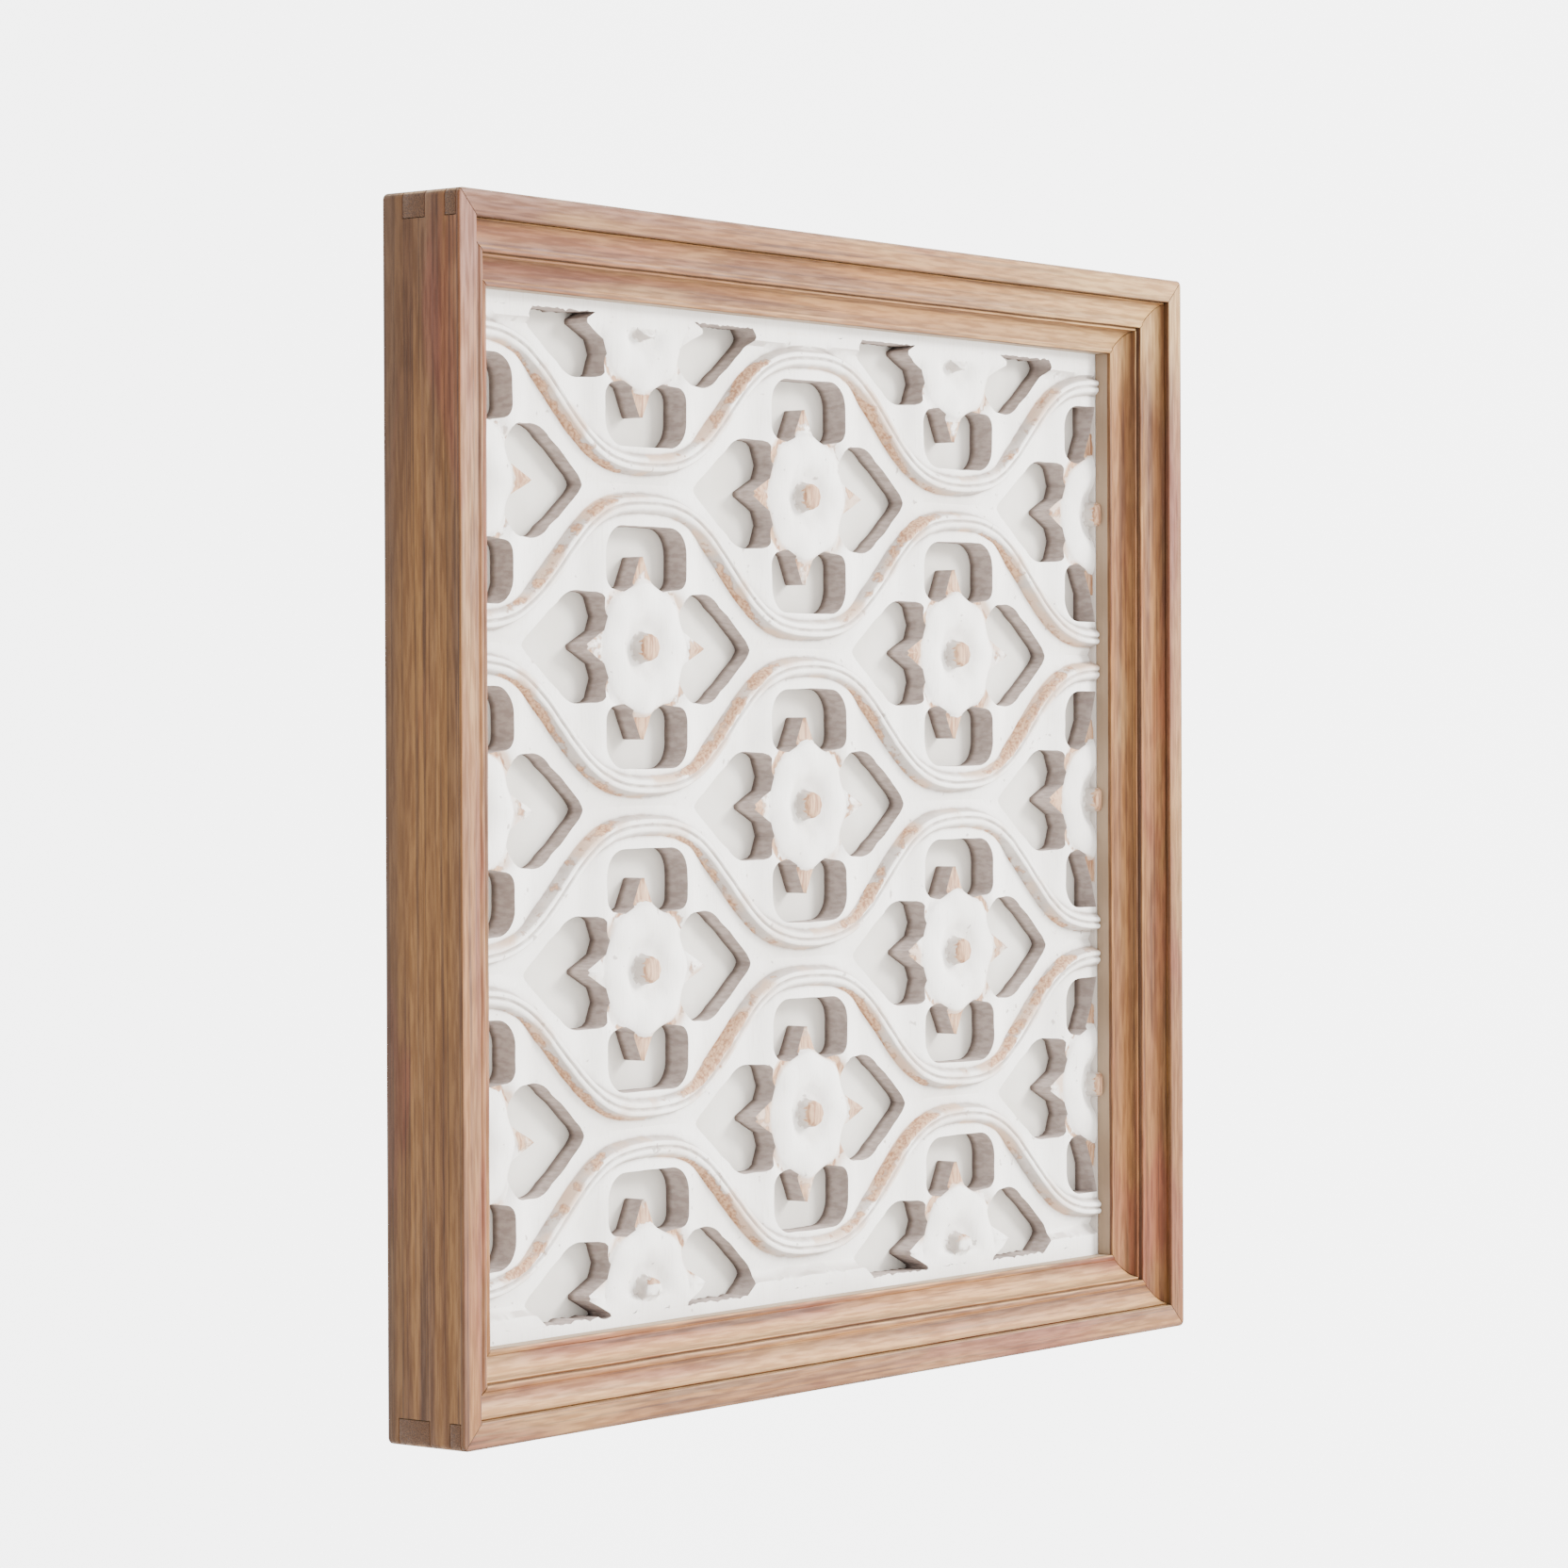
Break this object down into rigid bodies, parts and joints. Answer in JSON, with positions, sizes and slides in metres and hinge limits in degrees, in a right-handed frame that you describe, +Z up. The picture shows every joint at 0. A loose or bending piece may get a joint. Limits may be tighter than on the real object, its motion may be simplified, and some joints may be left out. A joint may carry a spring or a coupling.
{
  "type": "carved_wall_panel",
  "caption": "Pierced wall panel carved with flowers in an ogee lattice and whitewashed, set in a deep mango wood frame with a stepped moulding",
  "frame": {"origin": "the middle of the top board's back face, where the panel meets the wall", "axes": "+Y points back into the wall and the carved front faces -Y, +X runs to the right seen from the front, +Z is up"},
  "size_m": [0.6, 0.047, 0.575],
  "materials": {
    "frame_wood": "limed and oiled mango wood boards, worn to bare wood at the arrises",
    "moulding_wood": "limed mango wood moulding with dark grooves",
    "whitewashed_carving": "matt whitewash on carved board, rubbed through at the high edges",
    "white_backing": "matt white paint on thin board"
  },
  "bodies": {
    "root": {"frame_board_top": "frame_wood", "frame_board_bottom": "frame_wood", "frame_board_left": "frame_wood", "frame_board_right": "frame_wood", "moulding_top": "moulding_wood", "moulding_bottom": "moulding_wood", "moulding_left": "moulding_wood", "moulding_right": "moulding_wood", "carved_panel": "whitewashed_carving", "backing_board": "white_backing"}
  },
  "joints": []
}
